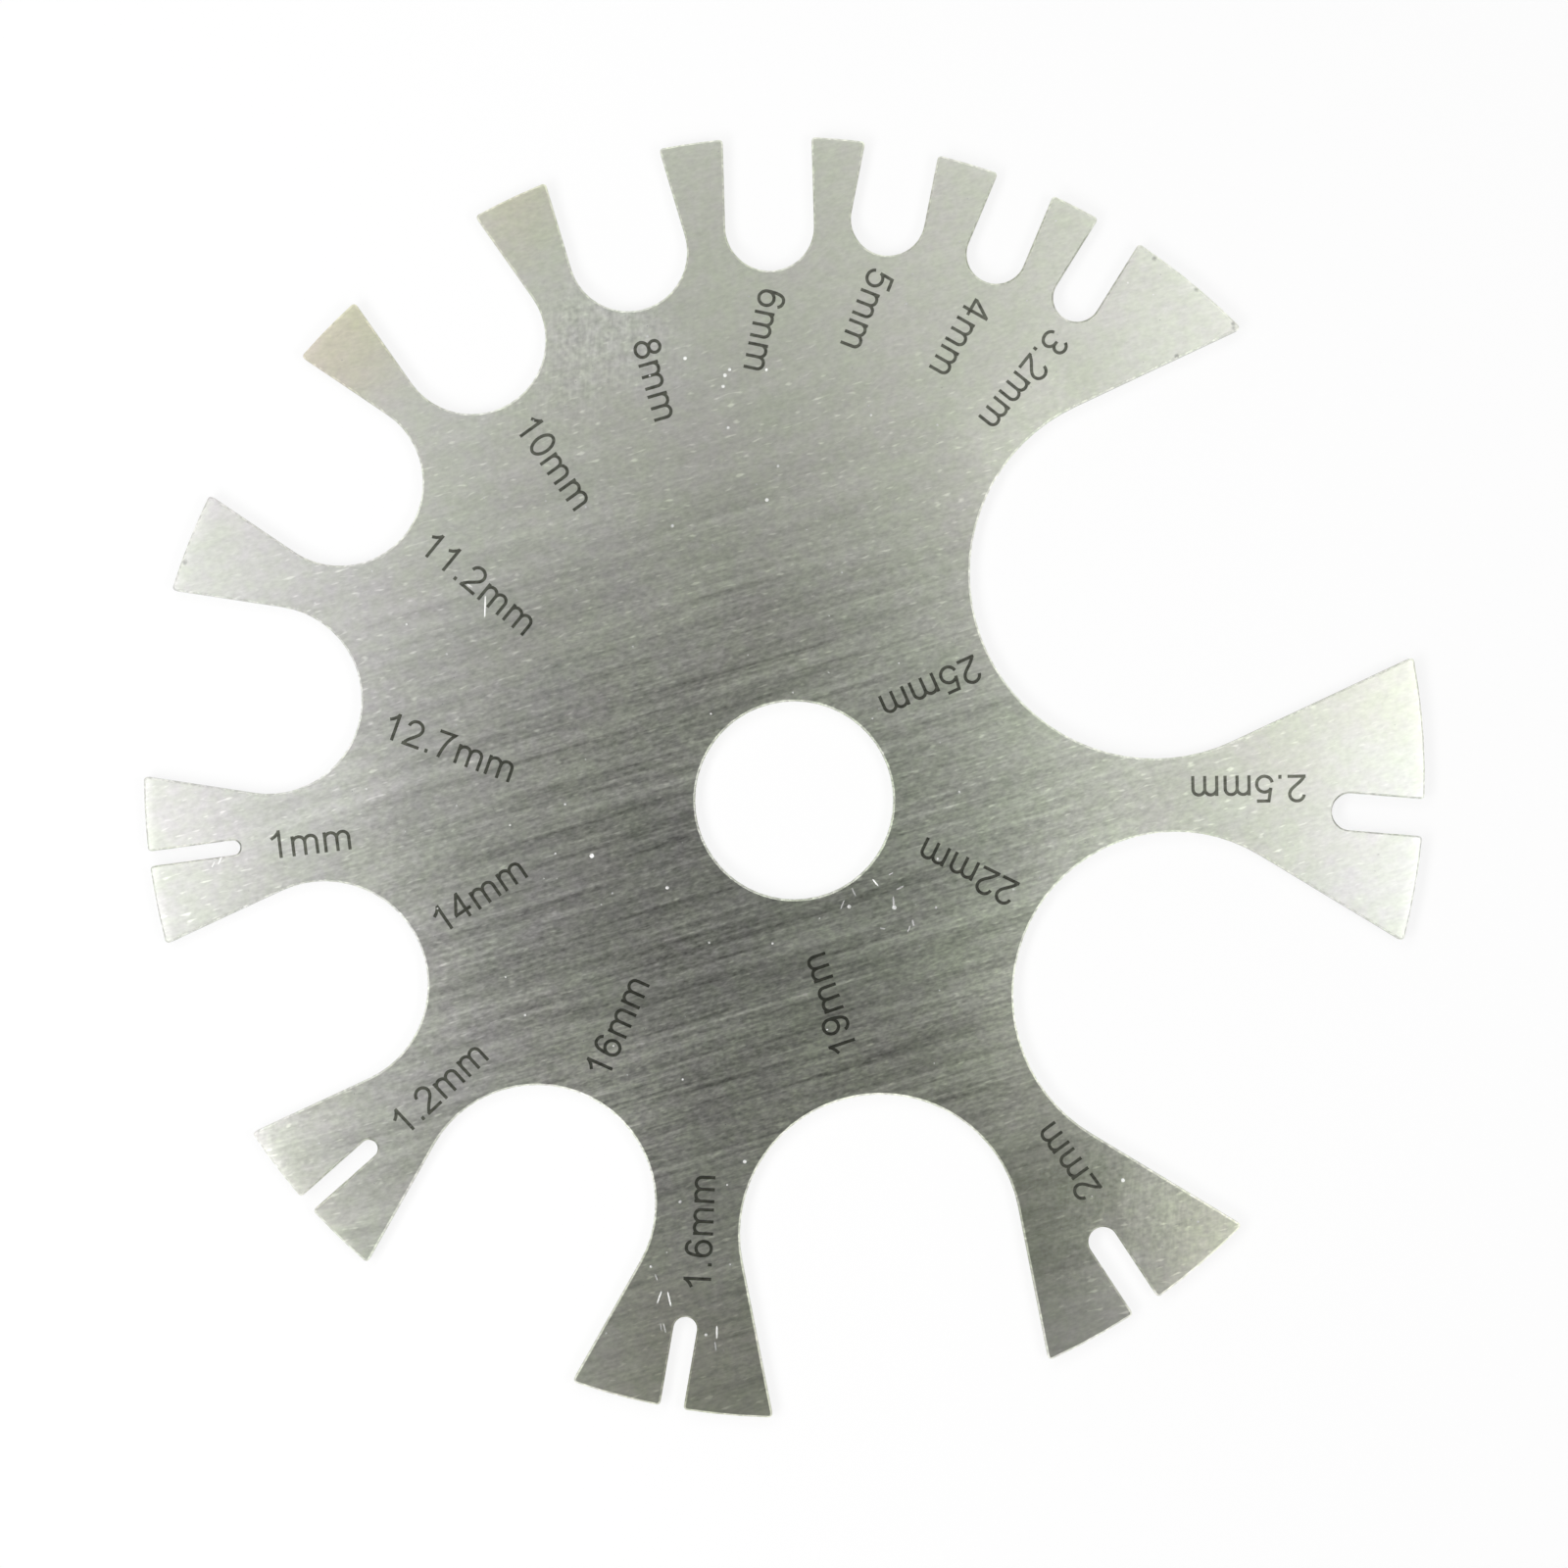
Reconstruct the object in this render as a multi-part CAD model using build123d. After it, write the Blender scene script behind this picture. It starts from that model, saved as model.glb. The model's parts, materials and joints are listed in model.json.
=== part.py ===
from build123d import *
import os
from collections import namedtuple
from math import cos, hypot, isclose, radians, sin

# A piercing gauge: one flat plate of sheet steel, round in outline, lying on its back.
# Lengths are in millimetres. Bearings are in degrees about the middle of the rim circle, counted
# anticlockwise from +X as the marked face is read from above (+Z).
# The origin is the middle of the rim circle, on the underside.

# The plate
rim_diameter = 86.5
plate_thickness = 1.2
edge_break = 0.12
tooth_corner_radius = 0.25

# The hole, which sits a little off the middle of the rim
hole_diameter = 13.4
hole_offset_x = 0.66
hole_offset_y = -1.57

# The five narrow slots all reach the same depth below the rim
slot_depth = 6.2

# Each notch has a round end and two parallel sides. Its width is the size that it gauges, and its
# bearing is that of the middle of its round end. Its depth runs from the rim to its floor, and its
# lean is the turn of its own centre line away from the line to the middle of the rim.
GaugeNotch = namedtuple("GaugeNotch", "width bearing depth lean")

gauge_notches = [
    GaugeNotch(width=25.0, bearing=28.8, depth=27.2, lean=-3.7),
    GaugeNotch(width=3.2, bearing=58.6, depth=6.95, lean=-0.55),
    GaugeNotch(width=4.0, bearing=67.95, depth=7.15, lean=-0.7),
    GaugeNotch(width=5.0, bearing=79.5, depth=7.4, lean=-0.7),
    GaugeNotch(width=6.0, bearing=91.55, depth=9.05, lean=0.05),
    GaugeNotch(width=8.0, bearing=106.6, depth=10.25, lean=0.05),
    GaugeNotch(width=10.0, bearing=125.6, depth=11.95, lean=-0.5),
    GaugeNotch(width=11.2, bearing=146.5, depth=12.85, lean=-0.5),
    GaugeNotch(width=12.7, bearing=171.5, depth=14.3, lean=-0.15),
    GaugeNotch(width=1.0, bearing=187.3, depth=slot_depth, lean=0.35),
    GaugeNotch(width=14.0, bearing=204.3, depth=16.15, lean=0.65),
    GaugeNotch(width=1.2, bearing=221.8, depth=slot_depth, lean=-0.2),
    GaugeNotch(width=16.0, bearing=239.85, depth=17.95, lean=0.7),
    GaugeNotch(width=1.6, bearing=259.8, depth=slot_depth, lean=0.4),
    GaugeNotch(width=19.0, bearing=281.85, depth=21.15, lean=-0.7),
    GaugeNotch(width=2.0, bearing=304.45, depth=slot_depth, lean=-1.0),
    GaugeNotch(width=22.0, bearing=330.95, depth=24.0, lean=-2.1),
    GaugeNotch(width=2.5, bearing=356.5, depth=slot_depth, lean=-1.2),
]

rim_radius = rim_diameter / 2


def notch_cutter(notch):
    """The outline that a notch takes out of the disc, with its sides run on past the rim."""
    end_radius = notch.width / 2
    end_reach = rim_radius - notch.depth + end_radius
    end_x = end_reach * cos(radians(notch.bearing))
    end_y = end_reach * sin(radians(notch.bearing))
    side_length = notch.depth + notch.width
    sides = Pos(side_length / 2, 0) * Rectangle(side_length, notch.width)
    place = Pos(end_x, end_y) * Rot(0, 0, notch.bearing + notch.lean)
    return place * (Circle(end_radius) + sides)


def is_tooth_corner(vertex):
    """True for the corners where the side of a notch meets the rim."""
    return isclose(hypot(vertex.X, vertex.Y), rim_radius, rel_tol=1e-4)


def plate_outline():
    """The flat shape of the plate: the disc with its notches, eased tooth corners and hole."""
    outline = Circle(rim_radius)
    for notch in gauge_notches:
        outline -= notch_cutter(notch)
    tooth_corners = outline.vertices().filter_by(is_tooth_corner)
    outline = fillet(tooth_corners, tooth_corner_radius)
    return outline - Pos(hole_offset_x, hole_offset_y) * Circle(hole_diameter / 2)


def gauge_plate():
    """The finished plate, with the sharp edge of both faces taken off all the way round."""
    plate = extrude(plate_outline(), plate_thickness)
    underside, *_, marked_face = plate.edges().group_by(Axis.Z)
    return chamfer(underside + marked_face, edge_break)


os.makedirs("parts", exist_ok=True)
export_step(gauge_plate(), "parts/gauge_plate.step")
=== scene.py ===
"""A piercing gauge: one flat round plate of brushed sheet steel, with sized notches round its rim.

The plate is read from model.glb. This file gives it its finish, its laser-marked sizes, its scratches
and dust, and a plain studio. Lengths are in metres and angles in radians in every setting. The plate
lies on its back, its marked face up, with the middle of its rim at the origin.
"""

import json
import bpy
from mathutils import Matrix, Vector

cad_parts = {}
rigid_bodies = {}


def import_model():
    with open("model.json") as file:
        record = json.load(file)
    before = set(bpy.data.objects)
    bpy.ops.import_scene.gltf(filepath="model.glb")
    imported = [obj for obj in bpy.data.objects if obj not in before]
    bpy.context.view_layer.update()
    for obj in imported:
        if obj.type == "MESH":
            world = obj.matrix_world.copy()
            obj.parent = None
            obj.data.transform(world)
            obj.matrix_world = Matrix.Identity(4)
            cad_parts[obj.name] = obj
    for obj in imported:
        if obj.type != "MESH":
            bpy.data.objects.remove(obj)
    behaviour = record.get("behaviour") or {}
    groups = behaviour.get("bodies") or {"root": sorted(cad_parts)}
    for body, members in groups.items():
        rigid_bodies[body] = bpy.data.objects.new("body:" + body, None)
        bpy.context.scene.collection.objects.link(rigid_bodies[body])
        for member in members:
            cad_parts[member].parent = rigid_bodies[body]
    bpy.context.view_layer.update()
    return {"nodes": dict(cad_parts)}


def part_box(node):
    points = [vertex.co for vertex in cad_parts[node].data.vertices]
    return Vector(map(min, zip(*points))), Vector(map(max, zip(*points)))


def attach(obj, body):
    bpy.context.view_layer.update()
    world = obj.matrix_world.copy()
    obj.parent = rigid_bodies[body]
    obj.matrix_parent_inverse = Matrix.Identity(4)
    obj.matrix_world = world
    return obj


bl_info = {
    "name": "Piercing gauge",
    "version": (1, 0, 0),
    "blender": (4, 5, 0),
    "location": "View3D > Sidebar > Gauge",
    "description": "Brushed steel, laser-marked sizes, wear and a studio for a piercing gauge",
    "category": "Object",
}

from collections import namedtuple
from math import cos, pi, radians, sin

import bmesh
import bpy
from bpy.props import FloatProperty, FloatVectorProperty, IntProperty, PointerProperty
from bpy.types import Operator, Panel, PropertyGroup
from mathutils import Vector
from mathutils.geometry import delaunay_2d_cdt, interpolate_bezier

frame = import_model()

MM = 0.001
SQUARE_CM = 0.0001
PLATE = frame["nodes"]["gauge_plate"]
FACE_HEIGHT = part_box("gauge_plate")[1].z
RIM_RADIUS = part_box("gauge_plate")[1].x
BODY = "root"


# Settings that a user would change


def a_length(name, description, default):
    """A setting that is a length."""
    return FloatProperty(name=name, description=description, default=default, unit="LENGTH")


def a_share(name, description, default):
    """A setting without a unit."""
    return FloatProperty(name=name, description=description, default=default, subtype="FACTOR")


def a_colour(name, description, default):
    """A setting that is a colour."""
    return FloatVectorProperty(
        name=name, description=description, default=default, subtype="COLOR", size=4)


class SteelFinish(PropertyGroup):
    """The brushed sheet steel."""

    steel_colour: a_colour(
        "Steel colour", "Colour that the bare steel reflects", (0.552, 0.567, 0.500, 1.0))
    brushing_turn: FloatProperty(
        name="Brushing turn", description="Turn of the brushing lines from +X", unit="ROTATION",
        default=radians(16.5))
    line_width: a_length("Line width", "Width of a fine brushing line", 0.215 * MM)
    line_length: a_length("Line length", "Length of a fine brushing line", 7.5 * MM)
    roughness: a_share("Roughness", "Roughness of the faces at the teeth", 0.365)
    middle_roughness: a_share("Middle roughness", "Roughness of the faces round the hole", 0.308)
    anisotropy: a_share(
        "Stretch of reflections", "How far brushing stretches a reflection across itself", 0.808)
    # The edges are painted brighter: partly polished wear, partly a painted highlight
    edge_wear_and_sheen: a_share(
        "Edge brightness", "How much brighter the worn edges are than the faces", 0.32)
    roll_width: a_length("Roll width", "Width of the strip that rolls over at the rim", 0.75 * MM)
    roll_drop: a_length("Roll drop", "How far that strip falls away", 0.007 * MM)
    wall_roughness: a_share("Wall roughness", "Roughness of the cut walls", 0.46)
    wall_shade: a_share("Wall shade", "Brightness of the cut walls against the faces", 0.8)


class BrightMarks(PropertyGroup):
    """The bright specks and scratches on the marked face."""

    specks_per_cm2: FloatProperty(
        name="Specks per cm2", description="Number of specks on a square centimetre", default=6.0)
    least_speck: a_length("Least speck", "Radius of the smallest specks", 0.04 * MM)
    greatest_speck: a_length("Greatest speck", "Radius of the largest specks", 0.085 * MM)
    speck_height: a_length("Speck height", "How far a speck stands proud of the face", 0.018 * MM)
    # Pale dust, and painted highlights for the scratches and for burrs that catch light
    dust_and_glint_colour: a_colour(
        "Speck colour", "Colour of the clearest specks and scratches", (0.88, 0.88, 0.86, 1.0))
    seed: IntProperty(name="Seed", description="Another number scatters the specks anew", default=11)


class SizeMarks(PropertyGroup):
    """The sizes marked beside the notches."""

    digit_height: a_length("Digit height", "Height of a digit", 1.875 * MM)
    stroke_share: a_share("Stroke", "Width of a stroke, as a share of the digit height", 0.117)
    thickness: a_length("Thickness", "How far a mark stands proud of the face", 0.006 * MM)
    mark_colour: a_colour(
        "Mark colour", "Colour of the steel that the laser burnt", (0.118, 0.122, 0.100, 1.0))


class StudioSettings(PropertyGroup):
    """The floor, the light and the camera."""

    floor_radius: a_length("Floor radius", "Radius of the round floor", 1.5)
    floor_colour: a_colour("Floor colour", "Colour of the floor", (0.9, 0.9, 0.9, 1.0))
    room_strength: FloatProperty(
        name="Room strength", description="Brightness of the room at the height of the table",
        default=1.45)
    room_fall: FloatProperty(
        name="Room fall", description="How fast the room dims towards the ceiling", default=4.0)
    camera_height: a_length("Camera height", "Height of the camera above the marked face", 0.294)
    lens: FloatProperty(
        name="Lens", description="Focal length of the camera in millimetres", unit="CAMERA",
        default=100.0)


# Size marks: characters drawn in strokes of even width, in units of the digit height

DOT_SIZE = 0.141
DIGIT_STEP = 0.7765
OTHER_STEPS = {"m": 1.1634, ".": 0.388}

# Points of a stroke nearer than this are one point. A bend is mitred no further than the limit allows.
TOUCHING = 1e-5
MITRE_LIMIT = 0.45


def bow(centre_x, centre_y, radius_x, radius_y, start, end, steps=20):
    """Points along part of an ellipse, with its start and end in degrees."""
    turns = [radians(start + (end - start) * step / steps) for step in range(steps + 1)]
    return [(centre_x + radius_x * cos(turn), centre_y + radius_y * sin(turn)) for turn in turns]


def sweep(start, start_pull, end_pull, end, steps=12):
    """Points along a Bezier curve, without its first."""
    corners = [Vector(corner) for corner in (start, start_pull, end_pull, end)]
    return [tuple(point) for point in interpolate_bezier(*corners, steps + 1)[1:]]


SIX = [
    bow(0.392, 0.318, 0.262, 0.276, 0, 360, 28),
    bow(0.400, 0.730, 0.240, 0.215, 10, 90, 8)
    + sweep((0.400, 0.945), (0.190, 0.945), (0.130, 0.700), (0.130, 0.318), 14),
]

CHARACTERS = {
    "0": [bow(0.387, 0.4915, 0.270, 0.450, 0, 360, 32)],
    "1": [
        [(0.459, 0.0), (0.459, 1.0)],
        [(0.160, 0.700), (0.300, 0.778), (0.400, 0.870), (0.455, 0.950)],
    ],
    "2": [
        bow(0.375, 0.700, 0.262, 0.243, 176, -25)
        + sweep((0.612, 0.597), (0.560, 0.440), (0.240, 0.300), (0.118, 0.075), 10),
        [(0.048, 0.057), (0.705, 0.057)],
    ],
    "3": [
        bow(0.365, 0.727, 0.232, 0.215, 165, -62) + [(0.400, 0.525)],
        [(0.290, 0.530), (0.400, 0.530)] + bow(0.372, 0.288, 0.283, 0.246, 78, -170, 22),
    ],
    "4": [
        [(0.488, 0.0), (0.488, 1.0)],
        [(0.470, 0.945), (0.062, 0.318)],
        [(0.018, 0.292), (0.690, 0.292)],
    ],
    "5": [
        [(0.655, 0.930), (0.220, 0.930), (0.145, 0.455)],
        bow(0.372, 0.325, 0.285, 0.285, 147, -168, 24),
    ],
    "6": SIX,
    "7": [
        [(0.066, 0.928), (0.640, 0.928)]
        + sweep((0.640, 0.928), (0.460, 0.720), (0.330, 0.400), (0.290, 0.0))
    ],
    "8": [
        bow(0.388, 0.742, 0.212, 0.203, 0, 360, 26),
        bow(0.388, 0.282, 0.270, 0.245, 0, 360, 28),
    ],
    "9": [[(0.775 - x, 0.986 - y) for x, y in stroke] for stroke in SIX],
    ".": [[(0.145, DOT_SIZE / 2), (0.261, DOT_SIZE / 2)]],
    "m": [
        [(0.153, 0.0), (0.153, 0.725)],
        bow(0.369, 0.475, 0.2155, 0.208, 180, 0, 16) + [(0.5845, 0.0)],
        bow(0.800, 0.475, 0.2135, 0.208, 180, 0, 16) + [(1.0135, 0.0)],
    ],
}


# Where each mark sits: the middle of its words by reach and bearing from the middle of the rim, in
# millimetres and degrees, and the turn of its line of words from +X
SizeMark = namedtuple("SizeMark", "words reach bearing turn")

SIZE_MARKS = [SizeMark(*row) for row in (
    ("25mm", 11.53, 31.3, -155.8),
    ("3.2mm", 31.26, 58.8, -128.8),
    ("4mm", 31.90, 68.1, -119.6),
    ("5mm", 32.00, 79.9, -111.2),
    ("6mm", 30.16, 92.5, -101.6),
    ("8mm", 28.20, 107.8, -73.9),
    ("10mm", 26.30, 126.0, -54.3),
    ("11.2mm", 24.43, 147.5, -39.4),
    ("12.7mm", 22.67, 174.8, -19.8),
    ("1mm", 32.32, 187.6, 7.0),
    ("14mm", 22.12, 200.9, 34.3),
    ("1.2mm", 31.38, 221.9, 43.0),
    ("16mm", 20.28, 236.0, 66.1),
    ("1.6mm", 31.26, 259.4, 87.6),
    ("19mm", 15.64, 280.9, 109.0),
    ("2mm", 32.20, 306.3, 126.1),
    ("22mm", 13.89, 332.5, 153.8),
    ("2.5mm", 31.30, 358.5, -179.2),
)]


def step_after(character):
    """Distance from the start of a character to the start of the next."""
    return OTHER_STEPS.get(character, DIGIT_STEP)


def stroke_quads(points, width):
    """The four-sided pieces of a stroke of even width along the points."""
    spots = [Vector(point) for point in points]
    runs = [(there - here).normalized() for here, there in zip(spots, spots[1:])]
    normals = [Vector((-run.y, run.x)) for run in runs]
    closed = (spots[0] - spots[-1]).length < TOUCHING
    before = [normals[-1 if closed else 0]] + normals
    after = normals + [normals[0 if closed else -1]]
    left = []
    right = []
    for spot, first, second in zip(spots, before, after):
        side = (first + second).normalized()
        side = side * width / 2 / max(MITRE_LIMIT, side.dot(first))
        left.append(spot + side)
        right.append(spot - side)
    return list(zip(right, right[1:], left[1:], left))


def character_mesh(character, stroke_width):
    """A flat mesh of one character, with the overlaps of its strokes merged away."""
    corners = []
    faces = []
    width = DOT_SIZE if character == "." else stroke_width
    for stroke in CHARACTERS[character]:
        for quad in stroke_quads(stroke, width):
            faces.append(list(range(len(corners), len(corners) + 4)))
            corners.extend(quad)
    spots, _, cells, _, _, sources = delaunay_2d_cdt(corners, [], faces, 0, TOUCHING)
    mesh = bpy.data.meshes.new("character")
    maker = bmesh.new()
    verts = [maker.verts.new((spot.x, spot.y, 0)) for spot in spots]
    for cell, source in zip(cells, sources):
        if source:
            maker.faces.new([verts[index] for index in cell])
    loose = [vert for vert in maker.verts if not vert.link_faces]
    bmesh.ops.delete(maker, geom=loose, context="VERTS")
    maker.normal_update()
    bmesh.ops.dissolve_limit(
        maker, angle_limit=radians(1), verts=maker.verts, edges=maker.edges)
    maker.to_mesh(mesh)
    maker.free()
    return mesh


# Marks of use on the marked face, and painted light and shade on it. Places, sizes and radii are in
# millimetres.

SoftSpot = namedtuple("SoftSpot", "x y radius strength")

# Round the hole the brushing lines and glints are painted with more contrast, a painted sheen that
# stands in for scratches catching the side lamps where the face reflects dark. The face is smoothest
# there, and the marks are painted darker, a painted shade.
PAINTED_SHEEN_MIDDLE = SoftSpot(x=-3.0, y=-12.0, radius=48.5, strength=1.0)
SMOOTH_MIDDLE = SoftSpot(x=-3.0, y=-6.0, radius=42.0, strength=1.0)
MARK_SHADE_MIDDLE = SoftSpot(x=-3.0, y=-4.0, radius=32.0, strength=0.28)

# Patches where the steel's colour is painted lighter, darker, warmer and cooler: mostly painted light
# and shade that stands in for the reflections of the lamps, partly the steel's own tint. The tint is
# the share of red, green and blue that it reflects there.
TintAndShadeSpot = namedtuple("TintAndShadeSpot", "x y radius tint")

TINT_AND_SHADE_SPOTS = [TintAndShadeSpot(*row) for row in (
    (-31.0, 31.0, 9.5, (0.960, 0.910, 0.800)),
    (-27.0, 26.5, 5.5, (0.960, 0.960, 0.960)),
    (-18.4, 39.5, 6.5, (0.970, 0.950, 0.860)),
    (-12.0, 30.0, 6.5, (1.040, 1.030, 1.070)),
    (17.5, 22.5, 8.5, (1.130, 1.130, 1.130)),
    (27.0, 31.5, 12.0, (1.090, 1.080, 1.120)),
    (44.0, -7.0, 15.0, (1.050, 1.040, 1.120)),
    (20.5, -4.0, 7.0, (1.090, 1.090, 1.090)),
    (12.0, 1.5, 6.5, (0.920, 0.920, 0.920)),
    (12.0, -3.0, 24.0, (0.975, 1.000, 0.975)),
    (17.0, -14.5, 9.5, (1.170, 1.170, 1.160)),
    (-45.0, 3.0, 50.0, (1.015, 1.000, 1.070)),
    (-16.0, 6.0, 13.0, (0.920, 0.920, 0.915)),
    (-3.0, 9.5, 8.5, (0.930, 0.930, 0.920)),
    (-29.5, -0.5, 5.0, (1.100, 1.100, 1.100)),
    (-24.0, -4.0, 6.5, (0.920, 0.920, 0.920)),
    (-12.0, -7.0, 14.0, (0.895, 0.895, 0.890)),
    (-11.5, -20.5, 7.0, (1.290, 1.290, 1.280)),
    (1.5, -20.5, 9.0, (1.140, 1.140, 1.130)),
    (-37.0, -26.0, 8.0, (1.200, 1.200, 1.200)),
    (12.0, -26.0, 22.0, (0.990, 1.000, 0.965)),
    (17.0, -30.0, 8.5, (0.720, 0.720, 0.710)),
    (30.0, -31.5, 8.5, (1.290, 1.280, 1.220)),
    (-6.0, -42.0, 15.0, (0.900, 0.900, 0.850)),
)]

# How the colour wanders: the size of its patches, their detail, and the share of each colour in the
# cooler and the warmer patches
ColourDrift = namedtuple("ColourDrift", "size detail cool warm")

COLOUR_DRIFTS = [
    ColourDrift(size=5.0, detail=2.0, cool=(1.010, 0.993, 1.015), warm=(0.990, 1.005, 0.975)),
    ColourDrift(size=0.9, detail=1.0, cool=(1.007, 0.992, 1.022), warm=(0.993, 1.008, 0.978)),
]

# Patches where a pebbled grain and short upright lines cover the brushing
SCUFFED_SPOTS = [SoftSpot(*row) for row in (
    (-12.6, 30.0, 6.5, 1.0),
    (-16.0, 24.5, 6.0, 0.5),
    (23.0, -29.5, 11.0, 1.0),
    (-37.0, -27.0, 7.0, 0.8),
)]

# Dark pits and chips
DARK_SPOTS = [SoftSpot(*row) for row in (
    (-40.45, 14.52, 0.26, 0.4),
    (30.32, 30.60, 0.22, 0.45),
    (30.30, 30.32, 0.20, 0.4),
    (24.97, 35.02, 0.24, 0.45),
    (27.81, 32.90, 0.22, 0.4),
    (26.49, 28.41, 0.22, 0.45),
)]

# The specks that stand out by themselves. The rest are scattered.
Speck = namedtuple("Speck", "x y radius strength")

NAMED_SPECKS = [Speck(*row) for row in (
    (-13.00, -5.32, 0.155, 0.95),
    (-5.30, -37.65, 0.100, 0.65),
    (-9.03, -33.04, 0.090, 0.65),
    (7.41, -8.79, 0.150, 0.70),
    (-7.91, -7.47, 0.125, 0.70),
    (22.85, -27.22, 0.135, 0.95),
    (10.35, -5.52, 0.085, 0.65),
    (-6.71, 28.27, 0.130, 1.00),
    (-4.01, 27.12, 0.135, 0.85),
    (-4.14, 26.37, 0.120, 0.85),
    (-3.70, 27.51, 0.115, 0.85),
    (-3.80, 23.58, 0.110, 0.65),
    (-1.19, 18.71, 0.130, 0.75),
    (-0.43, 21.00, 0.100, 0.60),
    (-1.22, 27.51, 0.100, 1.00),
    (-7.57, 16.96, 0.110, 0.55),
    (-2.68, -25.96, 0.130, 0.65),
    (-3.67, -32.90, 0.080, 0.30),
    (-7.04, -28.67, 0.110, 0.42),
    (4.36, -8.74, 0.130, 0.50),
    (10.23, -8.80, 0.090, 0.42),
    (24.90, 32.57, 0.060, 0.90),
    (23.18, 33.37, 0.060, 0.90),
    (28.87, 30.79, 0.060, 0.90),
)]

# Short bright scratches, their brightness a painted highlight. The strength is how clearly one shows.
Scratch = namedtuple("Scratch", "start end radius strength")

SCRATCHES = [Scratch(*row) for row in (
    ((-8.29, -34.66), (-8.60, -35.56), 0.10, 0.77),
    ((-7.89, -34.70), (-7.65, -35.76), 0.10, 0.81),
    ((-4.56, -37.02), (-4.56, -37.92), 0.11, 0.81),
    ((-4.70, -38.10), (-4.60, -38.75), 0.07, 0.20),
    ((-8.74, -33.54), (-8.57, -33.98), 0.08, 0.29),
    ((-8.17, -36.86), (-8.00, -37.52), 0.07, 0.29),
    ((-8.36, -36.80), (-8.30, -37.40), 0.06, 0.20),
    ((-20.19, 12.30), (-20.23, 10.75), 0.10, 1.00),
    ((-21.46, 13.06), (-21.06, 12.80), 0.08, 0.85),
    ((-38.00, -5.40), (-38.23, -5.90), 0.09, 1.00),
    ((5.95, -6.88), (6.35, -7.37), 0.09, 1.00),
    ((7.34, -8.04), (7.41, -8.90), 0.17, 0.30),
    ((7.54, -7.61), (8.06, -7.35), 0.10, 0.30),
    ((8.63, -9.62), (8.76, -10.09), 0.16, 0.25),
    ((8.50, -10.02), (8.30, -10.48), 0.08, 0.30),
    ((6.45, -10.19), (6.81, -10.25), 0.08, 0.30),
    ((7.04, -6.61), (7.34, -6.45), 0.08, 0.35),
    ((4.04, -8.29), (3.78, -8.94), 0.07, 0.25),
    ((4.55, -7.47), (4.81, -8.04), 0.08, 0.25),
    ((-38.46, -5.70), (-38.66, -6.10), 0.08, 0.90),
)]


# Helpers for node trees


def connect(tree, node, inputs):
    """Gives the node's inputs their values or their links."""
    for key, value in inputs.items():
        socket = node.inputs[key]
        if isinstance(value, bpy.types.NodeSocket):
            tree.links.new(value, socket)
        else:
            socket.default_value = value


def add_node(tree, kind, inputs=None, **settings):
    """A node of that kind, with values or links for its inputs."""
    node = tree.nodes.new(kind)
    for name, value in settings.items():
        setattr(node, name, value)
    connect(tree, node, inputs or {})
    return node


def made(tree, kind, inputs=None, **settings):
    """The first output of such a node."""
    return add_node(tree, kind, inputs, **settings).outputs[0]


def sums(tree, operation, *values, clamp=False):
    """The result of a Math node on the values."""
    return made(tree, "ShaderNodeMath", dict(enumerate(values)), operation=operation,
                use_clamp=clamp)


def vectors(tree, operation, *values):
    """The result of a Vector Math node: a number for a length or distance, or else a vector."""
    node = add_node(tree, "ShaderNodeVectorMath", dict(enumerate(values)), operation=operation)
    return node.outputs["Value" if operation in ("LENGTH", "DISTANCE") else "Vector"]


def stretched(tree, value, low, high, least=0.0, most=1.0, **settings):
    """The value moved from one span onto another, and held there."""
    return made(tree, "ShaderNodeMapRange", {0: value, 1: low, 2: high, 3: least, 4: most},
                **settings)


def patches(tree, place, size, detail=1.0, roughness=0.5):
    """Noise about 0.5, in patches of that size."""
    return made(tree, "ShaderNodeTexNoise", {
        "Vector": place, "Scale": 1 / size, "Detail": detail, "Roughness": roughness})


def swung(tree, noise, swing, middle=0.0):
    """Noise about 0.5 made to swing that far about another middle."""
    return sums(tree, "MULTIPLY_ADD", noise, swing, middle - swing / 2)


def blend(tree, share, first, second):
    """A value part of the way from the first to the second."""
    return made(tree, "ShaderNodeMix", {0: share, 2: first, 3: second}, data_type="FLOAT")


def blend_colours(tree, share, first, second):
    """A colour part of the way from the first to the second."""
    node = add_node(tree, "ShaderNodeMix", {0: share, 6: (*first, 1.0), 7: (*second, 1.0)},
                    data_type="RGBA")
    return node.outputs[2]


def shaded(tree, colour, level):
    """The colour made darker or lighter by the level."""
    return made(tree, "ShaderNodeVectorMath", {0: colour, "Scale": level}, operation="SCALE")


def new_group(name, kind, inputs, outputs):
    """A node group with named inputs and outputs. Returns its tree, what it is given and its end.

    A number stands for a number socket with that default, and anything else for its kind of socket.
    """
    tree = bpy.data.node_groups.new(name, kind)
    for way, sockets in (("INPUT", inputs), ("OUTPUT", outputs)):
        for label, value in sockets.items():
            socket_type = value if isinstance(value, str) else "Float"
            socket = tree.interface.new_socket(
                name=label, in_out=way, socket_type=f"NodeSocket{socket_type}")
            if socket_type != value:
                socket.default_value = value
    return tree, tree.nodes.new("NodeGroupInput").outputs, tree.nodes.new("NodeGroupOutput")


def new_material(name):
    """An empty material with nodes, and its tree."""
    material = bpy.data.materials.new(name)
    material.use_nodes = True
    material.node_tree.nodes.clear()
    return material, material.node_tree


def end_material(tree, inputs):
    """Ends a material in one Principled surface."""
    surface = made(tree, "ShaderNodeBsdfPrincipled", inputs)
    add_node(tree, "ShaderNodeOutputMaterial", {"Surface": surface})


# Shared effects

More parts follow.
